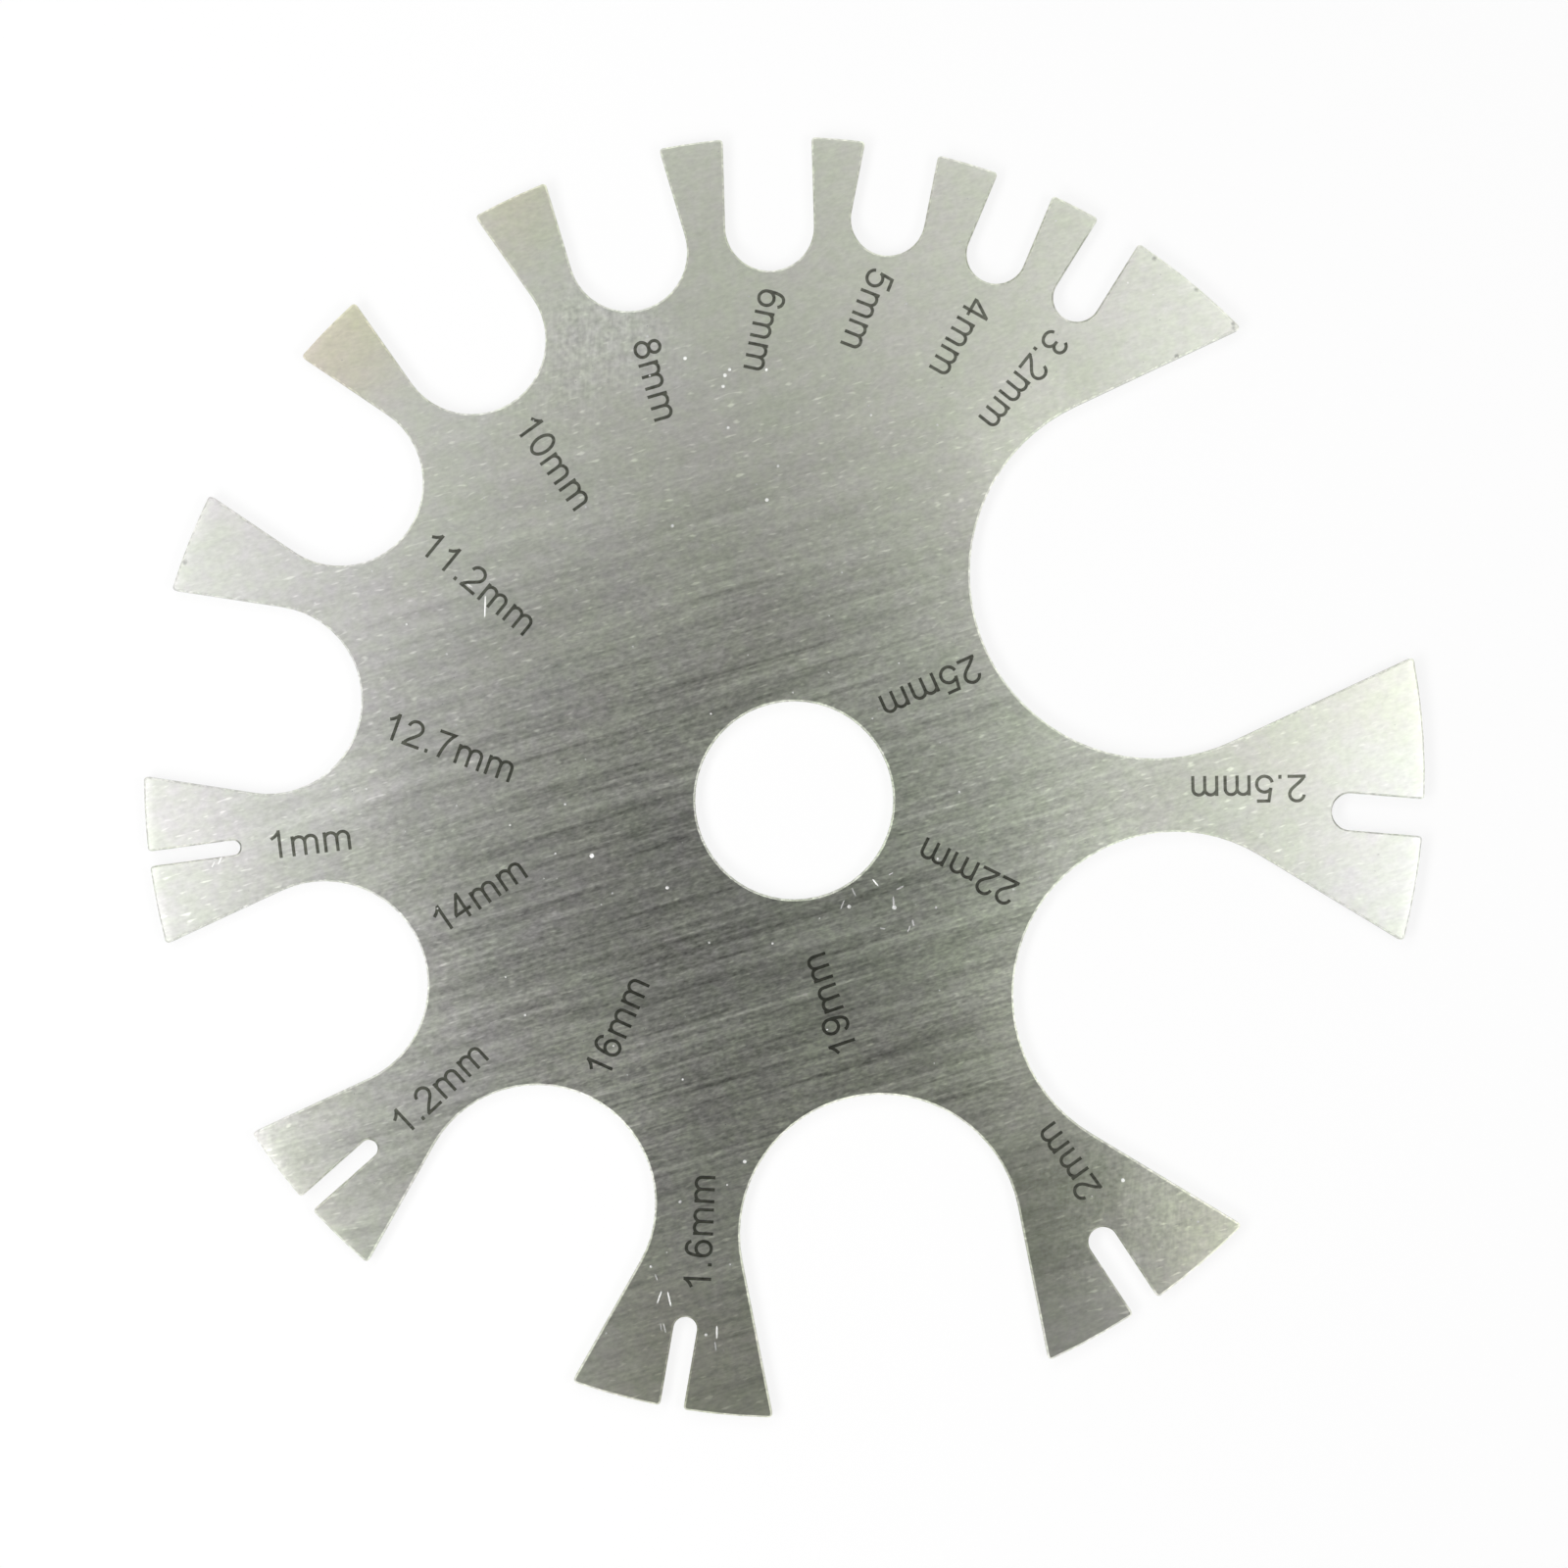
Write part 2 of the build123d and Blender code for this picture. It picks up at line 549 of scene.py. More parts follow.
# The layers of the brushing, and its glints, which are painted highlights: the width of their streaks
# in line widths, and their length in line lengths for the lines and bands, or in line widths for the
# grain and glints
Streaks = namedtuple("Streaks", "width length detail")

FINE_LINES = Streaks(width=1.0, length=1.0, detail=1.0)
BANDS = Streaks(width=5.0, length=3.0, detail=2.0)
GRAIN = Streaks(width=1.0, length=2.0, detail=1.0)
GLINTS = Streaks(width=1.15, length=3.8, detail=0.0)
STREAK_ROUGHNESS = 0.55

# How far a layer's noise swings, and the span of noise over which a painted glint comes up
LINE_SWING = 8.0
BAND_SWING = 7.6
GRAIN_SWING = 11.0
GLINT_SPAN = (0.70, 0.84)

# The upright share of a surface's normal: a cut wall has less than the one, a face more than the other
WALL_LIMIT = 0.3
FACE_LIMIT = 0.95

# The share of its radius within which a soft spot is whole
SPOT_CORE = 0.15


def brushing_group(name):
    """What a belt leaves on sheet steel: long straight lines, and a grain among them; and glints,
    painted highlights.
    """
    tree, given, end = new_group(
        name, "ShaderNodeTree",
        {"Vector": "Vector", "Turn": 0.0, "Line width": 0.2 * MM, "Line length": 5 * MM},
        {"Lines": "Float", "Grain": "Float", "Glints": "Float", "Height": "Float"})
    back = sums(tree, "MULTIPLY", given["Turn"], -1.0)
    turned = made(tree, "ShaderNodeVectorRotate",
                  {"Vector": given["Vector"], "Angle": back}, rotation_type="Z_AXIS")

    def streaks(layer, unit):
        """Noise stretched into streaks of the layer's width, and of its length in that unit."""
        width = sums(tree, "MULTIPLY", given["Line width"], layer.width)
        length = sums(tree, "MULTIPLY", given[unit], layer.length)
        size = made(tree, "ShaderNodeCombineXYZ", {0: length, 1: width, 2: width})
        spot = vectors(tree, "DIVIDE", turned, size)
        return patches(tree, spot, 1.0, layer.detail, STREAK_ROUGHNESS)

    fine_lines = streaks(FINE_LINES, "Line length")
    lines = swung(tree, fine_lines, LINE_SWING)
    bands = swung(tree, streaks(BANDS, "Line length"), BAND_SWING)
    connect(tree, end, {
        "Lines": sums(tree, "ADD", lines, bands),
        "Grain": swung(tree, streaks(GRAIN, "Line width"), GRAIN_SWING),
        "Glints": stretched(tree, streaks(GLINTS, "Line width"), *GLINT_SPAN),
        "Height": fine_lines})
    return tree


def plate_parts_group(name):
    """Tells the edge break and the cut wall from the faces by the way they look."""
    tree, given, end = new_group(
        name, "ShaderNodeTree", {"Normal": "Vector"}, {"Edge break": "Float", "Wall": "Float"})
    ways = add_node(tree, "ShaderNodeSeparateXYZ", {0: given["Normal"]})
    upright = sums(tree, "ABSOLUTE", ways.outputs["Z"])
    wall = sums(tree, "LESS_THAN", upright, WALL_LIMIT)
    not_flat = sums(tree, "LESS_THAN", upright, FACE_LIMIT)
    connect(tree, end, {"Edge break": sums(tree, "SUBTRACT", not_flat, wall), "Wall": wall})
    return tree


def soft_spot_group(name):
    """A round spot with a soft edge. Its mask runs from 1 in the middle to 0 outside."""
    tree, given, end = new_group(
        name, "ShaderNodeTree",
        {"Vector": "Vector", "Centre": "Vector", "Radius": 10 * MM, "Wobble": 0.0},
        {"Mask": "Float"})
    reach = vectors(tree, "DISTANCE", given["Vector"], given["Centre"])
    share = sums(tree, "DIVIDE", reach, given["Radius"])
    uneven = sums(tree, "ADD", share, given["Wobble"])
    mask = stretched(tree, uneven, 1.0, SPOT_CORE, interpolation_type="SMOOTHSTEP")
    connect(tree, end, {"Mask": mask})
    return tree


EFFECTS = {
    "Brushing lines": brushing_group,
    "Parts of the plate": plate_parts_group,
    "Soft spot": soft_spot_group,
}


def effect(tree, name, inputs):
    """A shared effect placed in a material with its own values. Its first use builds its group."""
    group = bpy.data.node_groups.get(name) or EFFECTS[name](name)
    return add_node(tree, "ShaderNodeGroup", inputs, node_tree=group)


def brushing(tree, place, turn, width, length):
    """The brushing lines at that turn, width and length."""
    return effect(tree, "Brushing lines", {
        "Vector": place, "Turn": turn, "Line width": width, "Line length": length}).outputs


def spot_mask(tree, place, spot, uneven=0.0):
    """The mask of one spot."""
    return effect(tree, "Soft spot", {
        "Vector": place, "Centre": (spot.x * MM, spot.y * MM, FACE_HEIGHT),
        "Radius": spot.radius * MM, "Wobble": uneven}).outputs["Mask"]


def spots_mask(tree, place, spots, uneven):
    """One mask for all the spots of a table, each at its own strength."""
    total = 0.0
    for spot in spots:
        mask = spot_mask(tree, place, spot, uneven)
        total = sums(tree, "MULTIPLY_ADD", mask, spot.strength, total)
    return sums(tree, "MINIMUM", total, 1.0)


# Finishes

WHITE = (1.0, 1.0, 1.0)

# How clearly each layer of the brushing and the painted glints show at the teeth, how much clearer
# they are painted in the middle, a painted sheen that stands in for scratches catching the side lamps
# where the face reflects dark, and how closely that gathers there
LINES_SHOW = (0.009, 0.097)
GRAIN_SHOWS = (0.027, 0.069)
GLINTS_SHOW = (0.05, 0.35)
LINE_GATHERING = 1.5
GLINT_GATHERING = 6.0

# How much rougher the face is where a line, a scuff or the edge break is, and the laser marks' lines
LINE_ROUGHNESS = 0.006
SCUFF_ROUGHNESS = 0.03
EDGE_ROUGHNESS = -0.04
MARK_LINE_ROUGHNESS = 0.01

# The laser leaves this share of a line's length, and this contrast of the grain
MARK_LINE_SHARE = 0.3
MARK_GRAIN_SHOWS = 0.12

# How firmly a cut wall stretches reflections along itself, and the size of its grain in X, Y and Z
WALL_PULL = (50.0, 50.0, 50.0)
WALL_GRAIN = (0.09 * MM, 0.09 * MM, 2.5 * MM)

# The span of noise between the cooler and the warmer patches of the colour
DRIFT_SPAN = (0.34, 0.66)

# The brightness of the faintest specks, as a share of that of the clearest
FAINTEST_SPECK = 0.25


def across_the_brushing(tree, finish):
    """The way in which the brushing stretches a reflection."""
    way = finish.brushing_turn + pi / 2
    return made(tree, "ShaderNodeCombineXYZ", {0: cos(way), 1: sin(way), 2: 0.0})


def brushed_level(tree, place, lines):
    """The brightness of the brushed face, with painted glints, and a painted sheen that livens it in
    the middle.
    """
    middle = spot_mask(tree, place, PAINTED_SHEEN_MIDDLE)
    painted_sheen = sums(tree, "POWER", middle, LINE_GATHERING)
    inside = sums(tree, "MULTIPLY", middle, GLINT_GATHERING, clamp=True)
    level = 1.0
    for layer, share, (at_teeth, more) in (
            ("Lines", painted_sheen, LINES_SHOW), ("Grain", painted_sheen, GRAIN_SHOWS),
            ("Glints", inside, GLINTS_SHOW)):
        contrast = sums(tree, "MULTIPLY_ADD", share, more, at_teeth)
        level = sums(tree, "MULTIPLY_ADD", lines[layer], contrast, level)
    return level


def scuffed_level(tree, place, scuffs):
    """The brightness of the scuffs, against the face round them."""
    pebbles = swung(tree, patches(tree, place, size=0.36 * MM), swing=0.62)
    lines = brushing(tree, place, turn=radians(86), width=0.19 * MM, length=1.3 * MM)
    line_contrast = 0.035
    level = sums(tree, "MULTIPLY_ADD", lines["Lines"], line_contrast, pebbles)
    return sums(tree, "MULTIPLY_ADD", level, scuffs, 1.0)


def lit_edge_level(tree, place, finish):
    """How much brighter the edge break is painted: partly polished wear, partly a painted highlight,
    with painted glints where its burrs catch light.
    """
    burrs = stretched(tree, patches(tree, place, size=0.3 * MM), low=0.4, high=0.7,
                      least=0.5, most=2.0)
    return sums(tree, "MULTIPLY", burrs, finish.edge_wear_and_sheen)


def drifting_and_shaded_colour(tree, place, finish, uneven):
    """The steel's colour, cooler and warmer in patches, and painted lighter and darker in spots:
    painted light and shade.
    """
    colour = finish.steel_colour[:3]
    for drift in COLOUR_DRIFTS:
        noise = patches(tree, place, drift.size * MM, drift.detail)
        share = stretched(tree, noise, *DRIFT_SPAN)
        tint = blend_colours(tree, share, drift.cool, drift.warm)
        colour = vectors(tree, "MULTIPLY", colour, tint)
    # Painted light and shade: the spots make the steel's colour lighter in some places and darker in
    # others, and tint it a little
    for spot in TINT_AND_SHADE_SPOTS:
        mask = spot_mask(tree, place, spot, uneven)
        colour = vectors(tree, "MULTIPLY", colour, blend_colours(tree, mask, WHITE, spot.tint))
    return colour


def worn_normal(tree, place, finish, height):
    """The fine relief of a surface that rolls over a little at the rim."""
    relief = made(tree, "ShaderNodeBump", {
        "Height": height, "Strength": 0.15, "Distance": 0.01 * MM})
    reach = vectors(tree, "LENGTH", vectors(tree, "MULTIPLY", place, (1.0, 1.0, 0.0)))
    roll = stretched(tree, reach, RIM_RADIUS - finish.roll_width, RIM_RADIUS)
    fall = sums(tree, "SUBTRACT", 1.0, sums(tree, "POWER", roll, 2.0))
    return made(tree, "ShaderNodeBump", {
        "Height": fall, "Strength": 1.0, "Distance": finish.roll_drop, "Normal": relief})


def steel_material(finish):
    """Brushed sheet steel for the plate."""
    material, tree = new_material("brushed_steel")
    texture_place = add_node(tree, "ShaderNodeTexCoord").outputs
    place = texture_place["Object"]
    normal = texture_place["Normal"]
    parts = effect(tree, "Parts of the plate", {"Normal": normal}).outputs
    wall = parts["Wall"]
    edge_break = parts["Edge break"]
    lines = brushing(tree, place, finish.brushing_turn, finish.line_width, finish.line_length)
    uneven = swung(tree, patches(tree, place, size=6 * MM, detail=2.0), swing=1.0)
    finely_uneven = swung(tree, patches(tree, place, size=0.16 * MM, detail=2.0), swing=1.0)
    scuffs = spots_mask(tree, place, SCUFFED_SPOTS, uneven)
    dark = spots_mask(tree, place, DARK_SPOTS, finely_uneven)
    wall_place = vectors(tree, "DIVIDE", place, WALL_GRAIN)
    wall_grain = patches(tree, wall_place, size=1.0, detail=2.0)

    level = brushed_level(tree, place, lines)
    level = sums(tree, "MULTIPLY", level, scuffed_level(tree, place, scuffs))
    level = sums(tree, "MULTIPLY", level, sums(tree, "SUBTRACT", 1.0, dark))
    level = blend(tree, wall, level,
                  swung(tree, wall_grain, swing=0.7, middle=finish.wall_shade))
    # Painted highlight and wear: the edge break is painted brighter, with painted glints of its burrs
    level = sums(tree, "MULTIPLY_ADD", edge_break, lit_edge_level(tree, place, finish), level)

    smooth = spot_mask(tree, place, SMOOTH_MIDDLE)
    smoother = finish.middle_roughness - finish.roughness
    rough = sums(tree, "MULTIPLY_ADD", smooth, smoother, finish.roughness)
    for mask, more in ((lines["Lines"], LINE_ROUGHNESS), (scuffs, SCUFF_ROUGHNESS)):
        rough = sums(tree, "MULTIPLY_ADD", mask, more, rough)
    rough = blend(tree, wall, rough, finish.wall_roughness)
    rough = sums(tree, "MULTIPLY_ADD", edge_break, EDGE_ROUGHNESS, rough)

    height = blend(tree, wall, lines["Height"], wall_grain)
    round_wall = vectors(tree, "CROSS_PRODUCT", (0.0, 0.0, 1.0), normal)
    end_material(tree, {
        "Base Color": shaded(tree, drifting_and_shaded_colour(tree, place, finish, uneven), level),
        "Metallic": 1.0, "Roughness": rough, "Anisotropic": finish.anisotropy,
        "Normal": worn_normal(tree, place, finish, height),
        "Tangent": vectors(tree, "MULTIPLY_ADD", round_wall, WALL_PULL,
                           across_the_brushing(tree, finish))})
    return material


def bright_material(bright):
    """Pale dust, and burrs and scratches that catch light from all sides, their glint painted as a
    pale colour: a painted highlight. The fainter ones are darker.
    """
    material, tree = new_material("pale_specks")
    place = add_node(tree, "ShaderNodeTexCoord").outputs["Object"]
    strength = add_node(tree, "ShaderNodeAttribute", attribute_name="strength").outputs["Fac"]
    level = swung(tree, patches(tree, place, size=0.4 * MM), swing=0.4, middle=1.0)
    clearness = sums(tree, "MULTIPLY_ADD", strength, 1.0 - FAINTEST_SPECK, FAINTEST_SPECK)
    level = sums(tree, "MULTIPLY", level, clearness)
    end_material(tree, {
        "Base Color": shaded(tree, bright.dust_and_glint_colour[:3], level),
        "Metallic": 0.25, "Roughness": 0.5})
    return material


def mark_material(marks, finish):
    """Steel burnt dark by a laser. It still reflects along its brushing."""
    material, tree = new_material("laser_mark")
    place = add_node(tree, "ShaderNodeTexCoord").outputs["Object"]
    lines = brushing(tree, place, finish.brushing_turn, finish.line_width,
                     finish.line_length * MARK_LINE_SHARE)
    # Painted shade: the marks' colour is darker round the hole, where the face reflects dark
    middle = spot_mask(tree, place, MARK_SHADE_MIDDLE)
    level = sums(tree, "MULTIPLY_ADD", lines["Grain"], MARK_GRAIN_SHOWS, 1.0)
    painted_shade = sums(tree, "MULTIPLY_ADD", middle, -MARK_SHADE_MIDDLE.strength, 1.0)
    level = sums(tree, "MULTIPLY", level, painted_shade)
    rough = sums(tree, "MULTIPLY_ADD", lines["Lines"], MARK_LINE_ROUGHNESS, finish.roughness)
    end_material(tree, {
        "Base Color": shaded(tree, marks.mark_colour[:3], level), "Metallic": 1.0,
        "Roughness": rough, "Anisotropic": finish.anisotropy,
        "Tangent": across_the_brushing(tree, finish)})
    return material


# Geometry node trees

WELD_DISTANCE = 1e-7

# Scattered specks: how rare the larger ones are, and how clearly the faintest and clearest show
SPECK_RARITY = 2.5
CLEARNESS_SPAN = (0.1, 0.7)

# The points along a scratch, how far its ends sink in scratch heights, and how suddenly
SCRATCH_POINTS = 9
SCRATCH_SINK = 1.1
SCRATCH_BEND = 3.0


def stored(tree, name, kind="FLOAT"):
    """The value that each point keeps under that name."""
    return made(tree, "GeometryNodeInputNamedAttribute", {"Name": name}, data_type=kind)


def store(tree, geometry, name, value):
    """The geometry, whose points now keep the value under that name."""
    return made(tree, "GeometryNodeStoreNamedAttribute",
                {"Geometry": geometry, "Name": name, "Value": value},
                data_type="FLOAT", domain="POINT")


def random_number(tree, low, high, seed=0):
    """A number for each point, between the two."""
    node = add_node(tree, "FunctionNodeRandomValue", {2: low, 3: high, "Seed": seed},
                    data_type="FLOAT")
    return node.outputs[1]


def turn_about_z(tree, angle):
    """A rotation by that angle, in the plane of the face."""
    way = made(tree, "ShaderNodeCombineXYZ", {2: angle})
    return made(tree, "FunctionNodeEulerToRotation", {0: way})


def joined(tree, *parts):
    """The pieces of geometry as one."""
    node = tree.nodes.new("GeometryNodeJoinGeometry")
    for part in parts:
        tree.links.new(part, node.inputs[0])
    return node.outputs[0]


def end_tree(tree, given, end, geometry):
    """Ends a tree: its instances are made real and take the finish."""
    whole = made(tree, "GeometryNodeRealizeInstances", {"Geometry": geometry})
    finished = made(tree, "GeometryNodeSetMaterial",
                    {"Geometry": whole, "Material": given["Finish"]})
    connect(tree, end, {"Geometry": finished})
    return tree


def lettering_tree():
    """Sets characters on points, each picked by number and turned, and gives them a thickness."""
    tree, given, end = new_group(
        "Set characters", "GeometryNodeTree",
        {"Geometry": "Geometry", "Characters": "Collection", "Digit height": 2 * MM,
         "Thickness": 0.01 * MM, "Finish": "Material"},
        {"Geometry": "Geometry"})
    source = made(tree, "GeometryNodeCollectionInfo", {
        "Collection": given["Characters"], "Separate Children": True,
        "Reset Children": True})
    placed = made(tree, "GeometryNodeInstanceOnPoints", {
        "Points": given["Geometry"], "Instance": source,
        "Pick Instance": True, "Instance Index": stored(tree, "character", "INT"),
        "Rotation": turn_about_z(tree, stored(tree, "turn")),
        "Scale": given["Digit height"]})
    flat = made(tree, "GeometryNodeRealizeInstances", {"Geometry": placed})
    raised = made(tree, "GeometryNodeExtrudeMesh", {
        "Mesh": flat, "Offset": (0.0, 0.0, 1.0), "Offset Scale": given["Thickness"],
        "Individual": False})
    backs = made(tree, "GeometryNodeFlipFaces", {"Mesh": flat})
    merged = made(tree, "GeometryNodeMergeByDistance", {
        "Geometry": joined(tree, raised, backs), "Distance": WELD_DISTANCE})
    return end_tree(tree, given, end, merged)


def specks_tree():
    """Sets low domes on named points, and scatters more of them over a face."""
    tree, given, end = new_group(
        "Scatter specks", "GeometryNodeTree",
        {"Geometry": "Geometry", "Face": "Object", "Density": 9 / SQUARE_CM,
         "Least radius": 0.04 * MM, "Greatest radius": 0.1 * MM, "Height": 0.02 * MM,
         "Seed": "Int", "Finish": "Material"},
        {"Geometry": "Geometry"})
    seed = given["Seed"]
    least = given["Least radius"]
    face = add_node(tree, "GeometryNodeObjectInfo", {"Object": given["Face"]})
    scattered = made(tree, "GeometryNodeDistributePointsOnFaces", {
        "Mesh": face.outputs["Geometry"], "Density": given["Density"], "Seed": seed})
    mostly_small = sums(tree, "POWER", random_number(tree, 0.0, 1.0, seed), SPECK_RARITY)
    span = sums(tree, "SUBTRACT", given["Greatest radius"], least)
    size = sums(tree, "MULTIPLY_ADD", mostly_small, span, least)
    sized = store(tree, scattered, "radius_of_speck", size)
    graded = store(tree, sized, "strength", random_number(tree, *CLEARNESS_SPAN, seed))
    named = made(tree, "GeometryNodeMeshToPoints", {"Mesh": given["Geometry"]})
    radius = stored(tree, "radius_of_speck")
    scale = made(tree, "ShaderNodeCombineXYZ", {0: radius, 1: radius, 2: given["Height"]})
    dome = made(tree, "GeometryNodeMeshUVSphere", {"Radius": 1.0, "Segments": 8, "Rings": 4})
    placed = made(tree, "GeometryNodeInstanceOnPoints", {
        "Points": joined(tree, graded, named), "Instance": dome, "Scale": scale,
        "Rotation": turn_about_z(tree, random_number(tree, 0.0, 2 * pi))})
    return end_tree(tree, given, end, placed)


def scratches_tree():
    """Turns short edges into thin raised lines that sink into the face at both ends."""
    tree, given, end = new_group(
        "Draw scratches", "GeometryNodeTree",
        {"Geometry": "Geometry", "Points": "Int", "Height": 0.02 * MM, "Finish": "Material"},
        {"Geometry": "Geometry"})
    paths = made(tree, "GeometryNodeMeshToCurve", {"Mesh": given["Geometry"]})
    divided = made(tree, "GeometryNodeResampleCurve", {"Curve": paths, "Count": given["Points"]})
    along = made(tree, "GeometryNodeSplineParameter")
    from_middle = sums(tree, "ABSOLUTE", sums(tree, "MULTIPLY_ADD", along, 2.0, -1.0))
    sink = sums(tree, "MULTIPLY", sums(tree, "POWER", from_middle, SCRATCH_BEND), given["Height"])
    offset = made(tree, "ShaderNodeCombineXYZ", {2: sums(tree, "MULTIPLY", sink, -SCRATCH_SINK)})
    sunk = made(tree, "GeometryNodeSetPosition", {"Geometry": divided, "Offset": offset})
    profile = made(tree, "GeometryNodeCurvePrimitiveCircle", {"Resolution": 16, "Radius": 1.0})
    lines = made(tree, "GeometryNodeCurveToMesh", {
        "Curve": sunk, "Profile Curve": profile, "Scale": stored(tree, "radius_of_line"),
        "Fill Caps": True})
    return end_tree(tree, given, end, lines)


# Meshes and objects


def point_mesh(name, spots, edges=(), **values):
    """A mesh of points, which keep named values for a tree to read."""
    mesh = bpy.data.meshes.new(name)
    mesh.from_pydata(spots, edges, [])
    for key, numbers in values.items():
        kind = "INT" if isinstance(numbers[0], int) else "FLOAT"
        mesh.attributes.new(key, kind, "POINT").data.foreach_set("value", numbers)
    return mesh


def new_object(name, mesh):
    """An object in the scene that carries the mesh."""
    thing = bpy.data.objects.new(name, mesh)
    bpy.context.scene.collection.objects.link(thing)
    return thing


def plain_result(thing, tree, values):
    """Runs the tree on the object and leaves the result as the object's own plain mesh."""
    modifier = thing.modifiers.new("build", "NODES")
    modifier.node_group = tree
    for socket in tree.interface.items_tree:
        if socket.item_type == "SOCKET" and socket.in_out == "INPUT" and socket.name in values:
            modifier[socket.identifier] = values[socket.name]
    bpy.context.view_layer.update()
    depsgraph = bpy.context.evaluated_depsgraph_get()
    mesh = bpy.data.meshes.new_from_object(thing.evaluated_get(depsgraph), depsgraph=depsgraph)
    thing.modifiers.clear()
    thing.data = mesh
    mesh.name = thing.name
    return thing


def character_points(digit_height, order):
    """A point for each character of each mark, with its number in that order and its turn."""
    spots = []
    picks = []
    turns = []
    for mark in SIZE_MARKS:
        bearing = radians(mark.bearing)
        turn = radians(mark.turn)
        middle = Vector((cos(bearing), sin(bearing))) * mark.reach * MM
        reading = Vector((cos(turn), sin(turn))) * digit_height
        rising = Vector((-sin(turn), cos(turn))) * digit_height
        length = sum(step_after(character) for character in mark.words)
        corner = middle - reading * length / 2 - rising / 2
        for character in mark.words:
            spots.append((corner.x, corner.y, FACE_HEIGHT))
            picks.append(order.index(character))
            turns.append(turn)
            corner = corner + reading * step_after(character)
    return point_mesh("character_points", spots, character=picks, turn=turns)


def marked_face():
    """A copy of the plate's marked face alone, for the specks to fall on."""
    mesh = bpy.data.meshes.new("marked_face")
    maker = bmesh.new()
    maker.from_mesh(PLATE.data)
    others = [face for face in maker.faces if face.normal.z < FACE_LIMIT]
    bmesh.ops.delete(maker, geom=others, context="FACES")
    maker.to_mesh(mesh)
    maker.free()
    return new_object("marked_face", mesh)


# The studio

# The panels face straight down. Lengths are in metres, heights are above the marked face, and turns
# are in radians.
SoftPanel = namedtuple("SoftPanel", "name x y height width length turn radiance")

PANELS = [SoftPanel(*row) for row in (
    ("right", 0.140, -0.005, 0.253, 0.203, 0.222, 0.39, 1.14),
    ("left", -0.133, -0.005, 0.200, 0.100, 0.327, -0.32, 3.07),
    ("far", 0.007, 0.163, 0.208, 0.169, 0.147, 0.13, 1.73),
    ("near_left", -0.127, -0.094, 0.203, 0.107, 0.181, 0.08, 3.85),
    ("near_right", 0.136, -0.042, 0.217, 0.100, 0.126, 0.12, 4.17),
    ("near", -0.005, -0.277, 0.237, 0.164, 0.077, 0.08, 3.56),
)]

# The floor lies just under the plate, so that the two don't touch. The glow is how much of it a look
# or a reflection sees as plain white.
FLOOR_GAP = 0.01 * MM
FLOOR_SIDES = 96
FLOOR_GLOW = 0.8

# The camera looks down a little off the middle of the rim
CAMERA_X = -0.03 * MM
CAMERA_Y = -0.465 * MM
SENSOR_WIDTH = 36.0


def lay_floor(studio):
    """A round pale floor, just under the plate."""
    mesh = bpy.data.meshes.new("floor")
    maker = bmesh.new()
    bmesh.ops.create_circle(maker, cap_ends=True, segments=FLOOR_SIDES, radius=studio.floor_radius)
    bmesh.ops.translate(maker, verts=maker.verts, vec=(0, 0, -FLOOR_GAP))
    maker.to_mesh(mesh)
    maker.free()
    material, tree = new_material("pale_floor")
    matt = made(tree, "ShaderNodeBsdfDiffuse", {"Color": studio.floor_colour})
    glow = made(tree, "ShaderNodeEmission", {"Color": (*WHITE, 1.0), "Strength": 1.0})
    ray = add_node(tree, "ShaderNodeLightPath").outputs
    seen = sums(tree, "ADD", ray["Is Camera Ray"], ray["Is Glossy Ray"], clamp=True)
    seen = sums(tree, "ADD", seen, ray["Is Transmission Ray"], clamp=True)
    share = sums(tree, "MULTIPLY", seen, FLOOR_GLOW)
    mixed = made(tree, "ShaderNodeMixShader", {0: share, 1: matt, 2: glow})
    add_node(tree, "ShaderNodeOutputMaterial", {"Surface": mixed})
    mesh.materials.append(material)
    floor = new_object("floor", mesh)


def hang_lamps():
    """Soft panels all round, with a gap overhead where the camera looks."""
    for panel in PANELS:
        light = bpy.data.lights.new(panel.name, "AREA")
        light.shape = "RECTANGLE"
        light.size = panel.width
        light.size_y = panel.length
        light.energy = panel.radiance * pi * panel.width * panel.length
        lamp = new_object(panel.name, light)
        lamp.location = (panel.x, panel.y, panel.height + FACE_HEIGHT)
        lamp.rotation_euler.z = panel.turn
        lamp.visible_camera = False


def paint_world(scene, studio):
    """A pale room with a dim ceiling."""
    world = bpy.data.worlds.new("studio_world")
    world.use_nodes = True
    tree = world.node_tree
    tree.nodes.clear()
    way = add_node(tree, "ShaderNodeTexCoord").outputs["Generated"]
    parts = add_node(tree, "ShaderNodeSeparateXYZ", {0: way})
    low = sums(tree, "SUBTRACT", 1.0, parts.outputs["Z"], clamp=True)
    curve = sums(tree, "POWER", low, studio.room_fall)
    level = sums(tree, "MULTIPLY", curve, studio.room_strength)
    back = made(tree, "ShaderNodeBackground", {"Color": (*WHITE, 1.0), "Strength": level})
    add_node(tree, "ShaderNodeOutputWorld", {"Surface": back})
    scene.world = world


def place_camera(scene, studio):
    """The camera looks straight down, with +Y at the top of the picture."""
    data = bpy.data.cameras.new("camera")
    data.sensor_width = SENSOR_WIDTH
    data.lens = studio.lens
    camera = new_object("camera", data)
    camera.location = (CAMERA_X, CAMERA_Y, FACE_HEIGHT + studio.camera_height)
    scene.camera = camera
    scene.view_settings.view_transform = "Standard"


# Operators


class GAUGE_OT_finish_plate(Operator):
    """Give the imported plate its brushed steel."""

    bl_idname = "gauge.finish_plate"
    bl_label = "Finish the plate"

    def execute(self, context):
        PLATE.data.materials.clear()
        PLATE.data.materials.append(steel_material(context.scene.gauge_steel))
        return {"FINISHED"}


